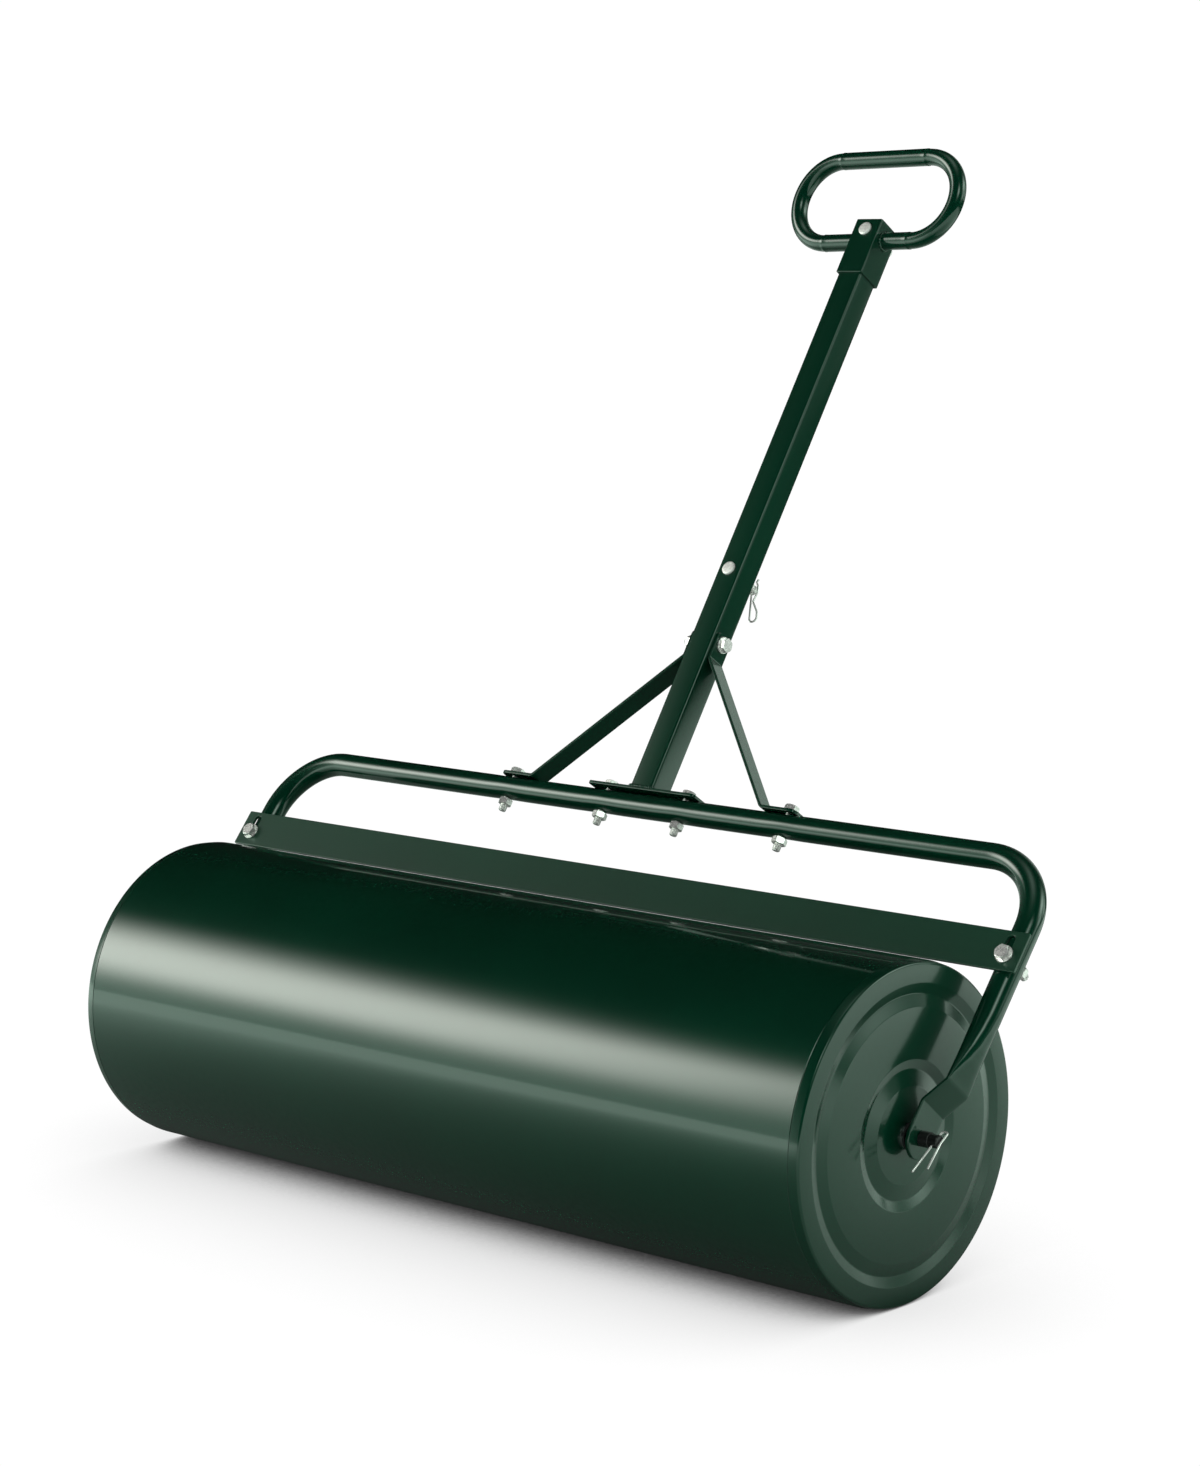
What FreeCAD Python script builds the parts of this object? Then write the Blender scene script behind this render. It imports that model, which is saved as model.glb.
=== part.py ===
import FreeCAD, Part
import math
import os
from FreeCAD import Vector

# Lawn roller, millimetres. Origin on the ground under the middle of the drum.
# +X runs along the drum's axle, -Y is the scraper side, the handle leans to +Y, +Z is up.

# drum
DRUM_R = 152.4
DRUM_HALF = 457.2
SHEET = 1.2
CAP_SKIRT = 10.0            # width of the cap's rim band on the drum's outside
CAP_LAP = 14.0              # how far the cap reaches on inside the shell
RIM_R = 3.0
LAP_GAP = 0.05
SHELL_GAP = 0.4             # open seam between cap and shell
RING_DEPTH = 3.0
RING_EDGE_R = 4.0           # corner radii of the pressed rings
RING_BOTTOM_R = 2.0
INNER_RING = (43.3, 57.7, 66.8)      # radii: inner edge, bottom, outer edge
OUTER_RING = (112.0, 123.3, 132.8)

# hub and axle
AXLE_R = 6.0
AXLE_HALF = 491.5
AXLE_CHAMFER = 0.8
RUNNING = 0.05              # radial clearance of a turning fit
HUB_TUBE_R = 11.0
HUB_TUBE_BORE = 8.5
HUB_TUBE_HALF = 461.0
BUSH_LENGTH = 25.0
BUSH_FLANGE_R = 13.0
BUSH_FLANGE = 2.0
THRUST_WASHER = (13.0, 6.4, 2.0)     # outer radius, hole radius, thickness
COLLAR_R = 7.0
COLLAR_LENGTH = 10.4
COLLAR_CHAMFER = 0.6
AXLE_CLIP_X = 486.5
AXLE_CLIP_WIRE = 1.0
AXLE_CLIP_HOLE = 1.15
AXLE_CLIP_DIP = 32.0        # slope of the clip's straight leg, down towards the front
AXLE_CLIP_FOOT = -38.0      # along that leg, from the axle: its end, and the closed end
AXLE_CLIP_TOP = 12.5
AXLE_CLIP_SPLAY = (5.5, -31.0)       # end of the other leg: how far out, and how far along

# filler, in the left cap
FILLER_AT = 89.5            # distance above the axle
FILLER_NECK_R = 17.0
FILLER_BORE = 12.2
FILLER_NECK = 9.0
PLUG_SHANK_R = 12.1
PLUG_SHANK = 13.0
PLUG_HEAD_R = 17.5
PLUG_HEAD = 8.0
PLUG_RIM = 1.5
PLUG_RIBS = 18
PLUG_RIB_CUT = 1.6          # radius of the scallops between the ribs
PLUG_SLOT = (22.0, 4.0, 3.0)         # length, width, depth
NECK_PROUD = 1.5            # how far the neck stands out of the cap
GASKET = (15.5, 12.4, 1.5)           # outer radius, hole radius, thickness

# tube frame
TUBE_R = 12.0
TUBE_WALL = 1.6
ARM_X = 485.2
ARM_LEAN = 38.9
ARM_LENGTH = 279.0          # axle to the middle of the rail
FRAME_BEND = 66.8
FLAT_WIDTH = 38.0
FLAT_THICK = 4.0
EYE_X = 470.0               # middle of the eye's thickness
FOLD_LOW = 28.5             # heights along the arm: fold above the eye, and fold below
FOLD_HIGH = 52.0            # the flattened end of the tube
FOLD_R = 3.0
FLATTENING = (              # height, half width, half thickness, squareness (2 is an ellipse)
    (125.0, TUBE_R - 0.05, TUBE_R - 0.05, 2.0), (108.0, 12.6, 11.3, 2.1), (92.0, 13.7, 9.9, 2.2),
    (78.0, 15.3, 7.7, 2.5), (66.0, 17.3, 4.9, 3.0), (57.0, 18.7, 2.6, 4.2), (52.0, 19.0, 2.0, 5.5))
ROUND_FROM = FLATTENING[0][0]
EYE_HOLE = 6.2

# scraper
SCRAPER_HALF = 502.0
SCRAPER_LOW = 162.0         # along the arm, from the axle
SCRAPER_WIDTH = 39.4
SCRAPER_THICK = 3.0
SCRAPER_GAP = 0.35
SCRAPER_BOLT_AT = 177.5
SLOT_LOW = 170.0
SLOT_HIGH = 197.0
SLOT_HALF_WIDTH = 4.5

# draw bar, base plate and braces, measured along the bar from the middle of the rail
BAR_LEAN = 33.06
BAR_SIDE = 29.0
BAR_WALL = 1.8
BAR_CORNER = 2.5
BAR_TOP = 669.0
PLATE_HALF = 68.5
PLATE_DEPTH = 30.0
PLATE_CORNER = 4.0
STRAP = 3.0                 # thickness of base plate and braces
CONTACT = 0.1               # gap between fastened faces
SEAT = TUBE_R + CONTACT     # underside of plate and brace feet
PLATE_BOLT_X = 50.0
BRACE_BOLT_X = 178.0
BRACE_WIDTH = 22.0
BRACE_FOOT_IN = 150.0
BRACE_FOOT_OUT = 190.0
BRACE_FOLD_AT = 162.0
CROSS_BOLT_AT = 181.6
BRACE_TOP = 192.5
BRACE_GAP = 0.2
BRACE_FOLD_R = 3.0
BRACE_CORNER = 6.0

# handle
SLEEVE_SIDE = 33.0
SLEEVE_WALL = 1.7
SLEEVE_LOW = 608.5
SLEEVE_HIGH = 672.5
LOOP_R = 9.0
LOOP_WALL = 1.5
LOOP_AT = 655.0
LOOP_LEAN = 21.8
LOOP_TILT = 1.4             # its right side stands slightly higher
LOOP_HALF_WIDTH = 100.8
LOOP_HEIGHT = 91.8
LOOP_OFFSET = -5.5

# clevis pins and their wire clips
PIN_R = 5.0
PIN_HOLE = 5.05
PIN_HEAD_R = 7.2
PIN_HEAD = 2.5
PIN_HEAD_RIM = 0.9
PIN_LENGTH = 47.5
PIN_TIP = 4.5               # from the clip's hole to the pin's end
HITCH_PIN_AT = 259.6
GRIP_PIN_AT = 660.0
CLIP_WIRE = 1.0
CLIP_HOLE = 1.2
CLIP_PATH = (               # sideways, along the straight leg, corner radius
    (0, 8.5, 0), (0, -39.5, 4.1), (8.4, -39.5, 4.1), (8.4, -29.0, 12), (2.6, -15.5, 3),
    (7.0, -6.0, 4), (7.0, 2.5, 3), (5.2, 6.6, 1.6), (7.2, 9.4, 0))
HITCH_CLIP_TURN = -19.5
GRIP_CLIP_TURN = 4.0

# M8 fasteners
BOLT_R = 4.0
BOLT_HOLE = 4.3
HEX_FLATS = 13.0
HEAD_HEIGHT = 5.3
HEX_TOP = 0.91              # radius of a head's flat top, as a share of its corner radius
HEX_CHAMFER = 30.0
HEX_TURN = 15.0
BOLT_TIP = 0.8              # chamfer at a bolt's end
CROSS_BOLT_LENGTH = 49.0
SCRAPER_BOLT_LENGTH = 43.0
RAIL_BOLT_LENGTH = 40.5
FLANGE_R = 8.6
FLANGE = 1.2
NUT_HEIGHT = 6.5
WASHER = (8.5, 4.25, 1.6)   # outer radius, hole radius, thickness

O = Vector(0, 0, 0)
X = Vector(1, 0, 0)
Y = Vector(0, 1, 0)
Z = Vector(0, 0, 1)
RAIL_Y = ARM_LENGTH * math.sin(math.radians(ARM_LEAN))
RAIL_Z = DRUM_R + ARM_LENGTH * math.cos(math.radians(ARM_LEAN))


# ---- helpers ----

def leaned(shape, lean, y, z):
    """Tips a shape back from the vertical about X, then moves it."""
    moved = shape.copy()
    moved.rotate(O, X, -lean)
    moved.translate(Vector(0, y, z))
    return moved


def on_arm(shape):
    """From the arm's own frame: Z along the arm from the axle, -Y to the front."""
    return leaned(shape, ARM_LEAN, 0, DRUM_R)


def on_bar(shape):
    """From the draw bar's own frame: Z along the bar from the rail, -Y to the front."""
    return leaned(shape, BAR_LEAN, RAIL_Y, RAIL_Z)


def at_axle(shape):
    moved = shape.copy()
    moved.translate(Vector(0, 0, DRUM_R))
    return moved


def mirrored(shape):
    return shape.mirror(O, X)


def both_sides(shape):
    return Part.makeCompound([shape, mirrored(shape)])


def rod(radius, start, direction, length):
    return Part.makeCylinder(radius, length, start, direction)


def ring(outer, inner, start, direction, length):
    return rod(outer, start, direction, length).cut(rod(inner, start, direction, length))


def rounded_edges(points, closed):
    """Lines and arcs through (x, z, corner radius) points in the XZ plane."""
    corners = []
    count = len(points)
    for i, (x, z, radius) in enumerate(points):
        p = Vector(x, 0, z)
        if radius == 0:
            corners.append((p, p, p))
            continue
        before, after = points[i - 1], points[(i + 1) % count]
        u = (Vector(before[0], 0, before[1]) - p).normalize()
        v = (Vector(after[0], 0, after[1]) - p).normalize()
        half = u.getAngle(v) / 2
        middle = (u + v).normalize()
        cut = radius / math.tan(half)
        nearest = p + middle * (radius / math.sin(half) - radius)
        corners.append((p + u * cut, nearest, p + v * cut))
    edges = []
    for i, (start, nearest, end) in enumerate(corners):
        if (start - end).Length > 1e-6:
            edges.append(Part.Arc(start, nearest, end).toShape())
        if closed or i < count - 1:
            following = corners[(i + 1) % count][0]
            if (following - end).Length > 1e-6:
                edges.append(Part.makeLine(end, following))
    return edges


def outline(points):
    return Part.Face(Part.Wire(rounded_edges(points, True)))


def swept(points, radius):
    """A round bar along an open path in the XZ plane."""
    path = Part.Wire(rounded_edges(points, False))
    first, second = points[0], points[1]
    start = Vector(first[0], 0, first[1])
    heading = Vector(second[0], 0, second[1]) - start
    profile = Part.Wire(Part.makeCircle(radius, start, heading))
    return path.makePipeShell([profile], True, False)


def swept_tube(points, radius, wall):
    return swept(points, radius).cut(swept(points, radius - wall))


def square_bar(side, corner, low, high):
    box = Part.makeBox(side, side, high - low, Vector(-side / 2, -side / 2, low))
    upright = [e for e in box.Edges if abs(e.tangentAt(0).z) > 0.9]
    return box.makeFillet(corner, upright)


def square_tube(side, wall, corner, low, high):
    return square_bar(side, corner, low, high).cut(
        square_bar(side - 2 * wall, max(corner - wall, 0.4), low - 1, high + 1))


def hexagon(flats, height, start, direction):
    """A hexagonal prism whose far rim is cut by a cone."""
    corner = flats / math.sqrt(3)
    points = [Vector(corner * math.cos(math.radians(60 * i)),
                     corner * math.sin(math.radians(60 * i)), 0) for i in range(7)]
    prism = Part.Face(Part.makePolygon(points)).extrude(Z * height)
    top_r = corner * HEX_TOP
    spread = corner / math.tan(math.radians(HEX_CHAMFER))
    cone = Part.makeCone(top_r + spread, top_r, corner, Vector(0, 0, height - corner), Z)
    prism = prism.common(cone)
    prism.rotate(O, Z, HEX_TURN)
    prism.Placement = FreeCAD.Placement(start, FreeCAD.Rotation(Z, direction)) * prism.Placement
    return prism


def shank(start, direction, length):
    """Bolt shank with a chamfered end."""
    plain = length - BOLT_TIP
    tip = Part.makeCone(BOLT_R, BOLT_R - BOLT_TIP, BOLT_TIP, start + direction * plain, direction)
    return rod(BOLT_R, start, direction, plain).fuse(tip)


def flange_bolt(start, direction, length):
    """Flange and head stand on `start`; the shank runs the other way from `direction`."""
    flange = Part.makeCone(FLANGE_R, FLANGE_R - FLANGE, FLANGE, start, direction)
    head = hexagon(HEX_FLATS, HEAD_HEIGHT, start + direction * FLANGE, direction)
    return flange.fuse([head, shank(start, direction * -1, length)]).removeSplitter()


def hex_bolt(start, direction, length):
    head = hexagon(HEX_FLATS, HEAD_HEIGHT, start, direction)
    return head.fuse(shank(start, direction * -1, length)).removeSplitter()


def nut(start, direction):
    return hexagon(HEX_FLATS, NUT_HEIGHT, start, direction).cut(
        rod(BOLT_R + RUNNING, start - direction, direction, NUT_HEIGHT + 2))


def washer(start, direction, size):
    return ring(size[0], size[1], start, direction, size[2])


# ---- drum ----

def drum_shell():
    half = DRUM_HALF - CAP_SKIRT - SHELL_GAP
    return at_axle(ring(DRUM_R, DRUM_R - SHEET, Vector(-half, 0, 0), X, 2 * half))


def ring_corners(face, first, bottom, last):
    return [(face, first, RING_EDGE_R), (face - RING_DEPTH, bottom, RING_BOTTOM_R),
            (face, last, RING_EDGE_R)]


def cap_profile():
    """Half section of the right cap: (x, distance from the axle, corner radius)."""
    face = DRUM_HALF
    back = DRUM_HALF - SHEET
    lap_r = DRUM_R - SHEET - LAP_GAP
    skirt_x = DRUM_HALF - CAP_SKIRT
    front_side = [(face, HUB_TUBE_R + LAP_GAP, 0)]
    for inner, bottom, outer in (INNER_RING, OUTER_RING):
        front_side += ring_corners(face, inner, bottom, outer)
    front_side += [(face, DRUM_R, RIM_R), (skirt_x, DRUM_R, 0), (skirt_x, lap_r, 0),
                   (skirt_x - CAP_LAP, lap_r, 0)]
    back_side = [(skirt_x - CAP_LAP, lap_r - SHEET, 0), (back, lap_r - SHEET, RIM_R)]
    for outer, bottom, inner in (OUTER_RING[::-1], INNER_RING[::-1]):
        back_side += ring_corners(back, outer, bottom, inner)
    return front_side + back_side + [(back, HUB_TUBE_R + LAP_GAP, 0)]


def right_cap():
    return at_axle(outline(cap_profile()).revolve(O, X, 360))


def left_cap():
    return mirrored(right_cap()).cut(filler_hole(FILLER_NECK_R + LAP_GAP))


def hub_tube():
    tube = ring(HUB_TUBE_R, HUB_TUBE_BORE, Vector(-HUB_TUBE_HALF, 0, 0), X, 2 * HUB_TUBE_HALF)
    return at_axle(tube)


def right_bush():
    inside = ring(HUB_TUBE_BORE, AXLE_R + RUNNING,
                  Vector(HUB_TUBE_HALF - BUSH_LENGTH, 0, 0), X, BUSH_LENGTH)
    flange = ring(BUSH_FLANGE_R, AXLE_R + RUNNING, Vector(HUB_TUBE_HALF, 0, 0), X, BUSH_FLANGE)
    return at_axle(inside.fuse(flange).removeSplitter())


def filler_hole(radius):
    start = Vector(-DRUM_HALF - 20, 0, DRUM_R + FILLER_AT)
    return rod(radius, start, X, 40)


def filler_neck():
    """Welded ring that carries the plug's thread."""
    start = Vector(-DRUM_HALF - NECK_PROUD, 0, DRUM_R + FILLER_AT)
    return ring(FILLER_NECK_R, FILLER_BORE, start, X, FILLER_NECK)


def filler_gasket():
    start = Vector(-DRUM_HALF - NECK_PROUD - GASKET[2] - LAP_GAP, 0, DRUM_R + FILLER_AT)
    return washer(start, X, GASKET)


def filler_plug():
    foot = -DRUM_HALF - NECK_PROUD - GASKET[2] - 2 * LAP_GAP
    centre = Vector(foot, 0, DRUM_R + FILLER_AT)
    plug = rod(PLUG_SHANK_R, centre, X, PLUG_SHANK)
    head = rod(PLUG_HEAD_R, centre, X * -1, PLUG_HEAD)
    rim = [e for e in head.Edges
           if abs(e.CenterOfMass.x - foot + PLUG_HEAD) < 0.1 and e.Length > PLUG_HEAD_R]
    head = head.makeFillet(PLUG_RIM, rim)
    for i in range(PLUG_RIBS):
        angle = 2 * math.pi * i / PLUG_RIBS
        at = centre + Vector(0, math.cos(angle), math.sin(angle)) * (PLUG_HEAD_R + 0.7)
        head = head.cut(rod(PLUG_RIB_CUT, at + X, X * -1, PLUG_HEAD + 2))
    length, width, depth = PLUG_SLOT
    recess = Part.makeBox(depth + 1, length, width,
                          centre + Vector(-PLUG_HEAD - 1, -length / 2, -width / 2))
    return plug.fuse(head.cut(recess)).removeSplitter()


# ---- axle ----

def axle_rod():
    bar = rod(AXLE_R, Vector(-AXLE_HALF, 0, 0), X, 2 * AXLE_HALF)
    ends = [e for e in bar.Edges if abs(abs(e.CenterOfMass.x) - AXLE_HALF) < 0.1]
    bar = bar.makeChamfer(AXLE_CHAMFER, ends)
    for side in (-1, 1):
        hole = rod(AXLE_CLIP_HOLE, Vector(side * AXLE_CLIP_X, 0, -10), Z, 20)
        hole.rotate(O, X, AXLE_CLIP_DIP - 90)
        bar = bar.cut(hole)
    return at_axle(bar)


def right_thrust_washer():
    inner_face = EYE_X - FLAT_THICK / 2 - CONTACT - THRUST_WASHER[2]
    return at_axle(washer(Vector(inner_face, 0, 0), X, THRUST_WASHER))


def right_collar():
    start = EYE_X + FLAT_THICK / 2 + CONTACT
    collar = ring(COLLAR_R, AXLE_R + RUNNING, Vector(start, 0, 0), X, COLLAR_LENGTH)
    rims = [e for e in collar.Edges if e.Length > 2 * math.pi * (COLLAR_R - 0.5)]
    return at_axle(collar.makeChamfer(COLLAR_CHAMFER, rims))


def right_axle_clip():
    """Hairpin of wire: one leg through the axle, the other bent over its end."""
    over_end = AXLE_HALF - AXLE_CLIP_X + AXLE_CLIP_WIRE + 0.35
    bend = over_end / 2
    splay, splay_foot = AXLE_CLIP_SPLAY
    clip = swept([(0, AXLE_CLIP_FOOT, 0), (0, AXLE_CLIP_TOP, bend), (over_end, AXLE_CLIP_TOP, bend),
                  (over_end, -1, 8), (over_end + splay, splay_foot, 0)], AXLE_CLIP_WIRE)
    clip.rotate(O, X, AXLE_CLIP_DIP - 90)
    clip.translate(Vector(AXLE_CLIP_X, 0, 0))
    return at_axle(clip)


# ---- tube frame ----

def flat_section(height, half_width, half_thick, power):
    """Closed curve across the arm that turns from a circle into a flat bar."""
    points = []
    count = 48
    for i in range(count):
        angle = 2 * math.pi * i / count
        c, s = math.cos(angle), math.sin(angle)
        points.append(Vector(ARM_X + half_thick * math.copysign(abs(c) ** (2 / power), c),
                             half_width * math.copysign(abs(s) ** (2 / power), s), height))
    curve = Part.BSplineCurve()
    curve.interpolate(points, PeriodicFlag=True)
    return Part.Wire(curve.toShape())


def flattened_end():
    return Part.makeLoft([flat_section(*section) for section in FLATTENING], True, False)


def eye_plate():
    """Cranked strap from the flattened tube inwards, then down round the axle."""
    t = FLAT_THICK / 2
    step = 1.25                 # half the height that the strap's thickness adds at a fold
    overlap = FOLD_HIGH + step
    strap = outline([(EYE_X - t, 0, 0), (EYE_X + t, 0, 0), (EYE_X + t, FOLD_LOW - step, FOLD_R),
                     (ARM_X + t, FOLD_HIGH - step, FOLD_R), (ARM_X + t, overlap, 0),
                     (ARM_X - t, overlap, 0), (ARM_X - t, FOLD_HIGH + step - 0.25, FOLD_R / 2),
                     (EYE_X - t, FOLD_LOW + step, FOLD_R)])
    strap = strap.extrude(Y * FLAT_WIDTH)
    strap.translate(Y * (-FLAT_WIDTH / 2))
    disc = rod(FLAT_WIDTH / 2, Vector(EYE_X - t, 0, 0), X, FLAT_THICK)
    return strap.fuse(disc)


def frame_tube():
    path = [(ARM_X, ROUND_FROM, 0), (ARM_X, ARM_LENGTH, FRAME_BEND),
            (-ARM_X, ARM_LENGTH, FRAME_BEND), (-ARM_X, ROUND_FROM, 0)]
    frame = swept_tube(path, TUBE_R, TUBE_WALL)
    end = flattened_end().fuse(eye_plate())
    end = end.cut(rod(EYE_HOLE, Vector(EYE_X - 10, 0, 0), X, 20))
    frame = frame.fuse([end, mirrored(end)])
    for side in (-1, 1):
        frame = frame.cut(rod(BOLT_HOLE, Vector(side * ARM_X, -30, SCRAPER_BOLT_AT), Y, 60))
    frame = on_arm(frame)
    for x in rail_bolt_places():
        frame = frame.cut(on_bar(rod(BOLT_HOLE, Vector(x, 0, -30), Z, 60)))
    return frame


# ---- scraper ----

def scraper_plate():
    front = -(TUBE_R + SCRAPER_GAP + SCRAPER_THICK)
    plate = Part.makeBox(2 * SCRAPER_HALF, SCRAPER_THICK, SCRAPER_WIDTH,
                         Vector(-SCRAPER_HALF, front, SCRAPER_LOW))
    slot_low, slot_high = SLOT_LOW + SLOT_HALF_WIDTH, SLOT_HIGH - SLOT_HALF_WIDTH
    for side in (-1, 1):
        x = side * ARM_X
        slot = Part.makeBox(2 * SLOT_HALF_WIDTH, 10, slot_high - slot_low,
                            Vector(x - SLOT_HALF_WIDTH, front - 3, slot_low))
        ends = [rod(SLOT_HALF_WIDTH, Vector(x, front - 3, z), Y, 10) for z in (slot_low, slot_high)]
        plate = plate.cut(slot.fuse(ends))
    return on_arm(plate)


def scraper_front():
    return -(TUBE_R + SCRAPER_GAP + SCRAPER_THICK + CONTACT)


def right_scraper_washer():
    return on_arm(washer(Vector(ARM_X, scraper_front(), SCRAPER_BOLT_AT), Y * -1, WASHER))


def right_scraper_bolt():
    start = Vector(ARM_X, scraper_front() - WASHER[2], SCRAPER_BOLT_AT)
    return on_arm(hex_bolt(start, Y * -1, SCRAPER_BOLT_LENGTH))


def right_scraper_nut():
    return on_arm(nut(Vector(ARM_X, TUBE_R + CONTACT, SCRAPER_BOLT_AT), Y))


# ---- draw bar ----

def rail_bolt_places():
    return (-BRACE_BOLT_X, -PLATE_BOLT_X, PLATE_BOLT_X, BRACE_BOLT_X)


def base_plate():
    plate = Part.makeBox(2 * PLATE_HALF, PLATE_DEPTH, STRAP, Vector(-PLATE_HALF, -PLATE_DEPTH / 2, SEAT))
    plate = plate.makeFillet(PLATE_CORNER, [e for e in plate.Edges if abs(e.tangentAt(0).z) > 0.9])
    for side in (-1, 1):
        plate = plate.cut(rod(BOLT_HOLE, Vector(side * PLATE_BOLT_X, 0, 0), Z, 40))
    return on_bar(plate)


def draw_bar():
    bar = square_tube(BAR_SIDE, BAR_WALL, BAR_CORNER, SEAT + STRAP, BAR_TOP)
    bar = bar.cut(rod(BOLT_HOLE, Vector(-30, 0, CROSS_BOLT_AT), X, 60))
    for height in (HITCH_PIN_AT, GRIP_PIN_AT):
        bar = bar.cut(rod(PIN_HOLE, Vector(0, -30, height), Y, 60))
    return on_bar(bar)


def right_brace():
    side = BAR_SIDE / 2 + BRACE_GAP
    slope_x = STRAP * 1.15      # the sloping run starts nearer to the bar on its underside
    profile = outline([
        (side, BRACE_TOP, 0), (side, BRACE_FOLD_AT, BRACE_FOLD_R),
        (BRACE_FOOT_IN - slope_x, SEAT, BRACE_FOLD_R), (BRACE_FOOT_OUT, SEAT, 0),
        (BRACE_FOOT_OUT, SEAT + STRAP, 0), (BRACE_FOOT_IN, SEAT + STRAP, BRACE_FOLD_R),
        (side + STRAP, BRACE_FOLD_AT + 1.0, BRACE_FOLD_R), (side + STRAP, BRACE_TOP, 0)])
    brace = profile.extrude(Y * BRACE_WIDTH)
    brace.translate(Y * (-BRACE_WIDTH / 2))
    corners = [e for e in brace.Edges if e.Length < STRAP + 0.1
               and (e.CenterOfMass.z > BRACE_TOP - 0.1 or e.CenterOfMass.x > BRACE_FOOT_OUT - 0.1)
               and abs(e.tangentAt(0).y) < 0.1]
    brace = brace.makeFillet(BRACE_CORNER, corners)
    brace = brace.cut(rod(BOLT_HOLE, Vector(0, 0, CROSS_BOLT_AT), X, 60))
    return on_bar(brace.cut(rod(BOLT_HOLE, Vector(BRACE_BOLT_X, 0, 0), Z, 40)))


def rail_bolts():
    start = SEAT + STRAP + CONTACT
    return Part.makeCompound([on_bar(flange_bolt(Vector(x, 0, start), Z, RAIL_BOLT_LENGTH))
                              for x in rail_bolt_places()])


def rail_nuts():
    return Part.makeCompound([on_bar(nut(Vector(x, 0, -TUBE_R - CONTACT), Z * -1))
                              for x in rail_bolt_places()])


def cross_face():
    """Distance from the bar's middle to the outside of a brace."""
    return BAR_SIDE / 2 + BRACE_GAP + STRAP + CONTACT


def cross_washers():
    right = washer(Vector(cross_face(), 0, CROSS_BOLT_AT), X, WASHER)
    return on_bar(both_sides(right))


def cross_bolt():
    start = Vector(cross_face() + WASHER[2], 0, CROSS_BOLT_AT)
    return on_bar(hex_bolt(start, X, CROSS_BOLT_LENGTH))


def cross_nut():
    return on_bar(nut(Vector(-cross_face() - WASHER[2], 0, CROSS_BOLT_AT), X * -1))


# ---- handle ----

def grip_sleeve():
    sleeve = square_tube(SLEEVE_SIDE, SLEEVE_WALL, BAR_CORNER, SLEEVE_LOW, SLEEVE_HIGH)
    return on_bar(sleeve.cut(rod(PIN_HOLE, Vector(0, -30, GRIP_PIN_AT), Y, 60)))


def handle_loop():
    """Oval tube whose two ends are welded to the sleeve's sides."""
    right = LOOP_OFFSET + LOOP_HALF_WIDTH
    left = LOOP_OFFSET - LOOP_HALF_WIDTH
    bend = LOOP_HEIGHT / 2
    end = SLEEVE_SIDE / 2 + 0.25
    path = [(end, 0, 0), (right, 0, bend), (right, LOOP_HEIGHT, bend),
            (left, LOOP_HEIGHT, bend), (left, 0, bend), (-end, 0, 0)]
    loop = swept_tube(path, LOOP_R, LOOP_WALL)
    loop.rotate(O, Y, -LOOP_TILT)
    along = math.radians(BAR_LEAN)
    return leaned(loop, LOOP_LEAN,
                  RAIL_Y + LOOP_AT * math.sin(along), RAIL_Z + LOOP_AT * math.cos(along))


# ---- clevis pins ----

def clevis_pin(height, face):
    """Head on the front face, shank towards the back, cross hole for the clip."""
    head = rod(PIN_HEAD_R, Vector(0, -face, height), Y * -1, PIN_HEAD)
    rim = [e for e in head.Edges
           if abs(e.CenterOfMass.y + face + PIN_HEAD) < 0.1 and e.Length > PIN_HEAD_R]
    head = head.makeFillet(PIN_HEAD_RIM, rim)
    shaft = rod(PIN_R, Vector(0, -face, height), Y, PIN_LENGTH)
    tip = [e for e in shaft.Edges if abs(e.CenterOfMass.y - PIN_LENGTH + face) < 0.1]
    return head.fuse(shaft.makeChamfer(1, tip))


def clip_hole(height, face, turn):
    hole = rod(CLIP_HOLE, Vector(0, PIN_LENGTH - face - PIN_TIP, height - 10), Z, 20)
    hole.rotate(Vector(0, 0, height), Y, turn)
    return hole


def wire_clip():
    """Straight leg on Z through the pin, closed end below, waved leg on +X."""
    return swept(CLIP_PATH, CLIP_WIRE)


def pin_with_hole(height, face, turn):
    return on_bar(clevis_pin(height, face).cut(clip_hole(height, face, turn)))


def placed_clip(clip, height, face, turn):
    clip.rotate(O, Y, turn)
    clip.translate(Vector(0, PIN_LENGTH - face - PIN_TIP, height))
    return on_bar(clip)


def hitch_pin():
    return pin_with_hole(HITCH_PIN_AT, BAR_SIDE / 2 + CONTACT, HITCH_CLIP_TURN)


def hitch_pin_clip():
    return placed_clip(wire_clip(), HITCH_PIN_AT, BAR_SIDE / 2 + CONTACT, HITCH_CLIP_TURN)


def grip_pin():
    return pin_with_hole(GRIP_PIN_AT, SLEEVE_SIDE / 2 + CONTACT, GRIP_CLIP_TURN)


def grip_pin_clip():
    return placed_clip(mirrored(wire_clip()), GRIP_PIN_AT, SLEEVE_SIDE / 2 + CONTACT, GRIP_CLIP_TURN)


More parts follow.
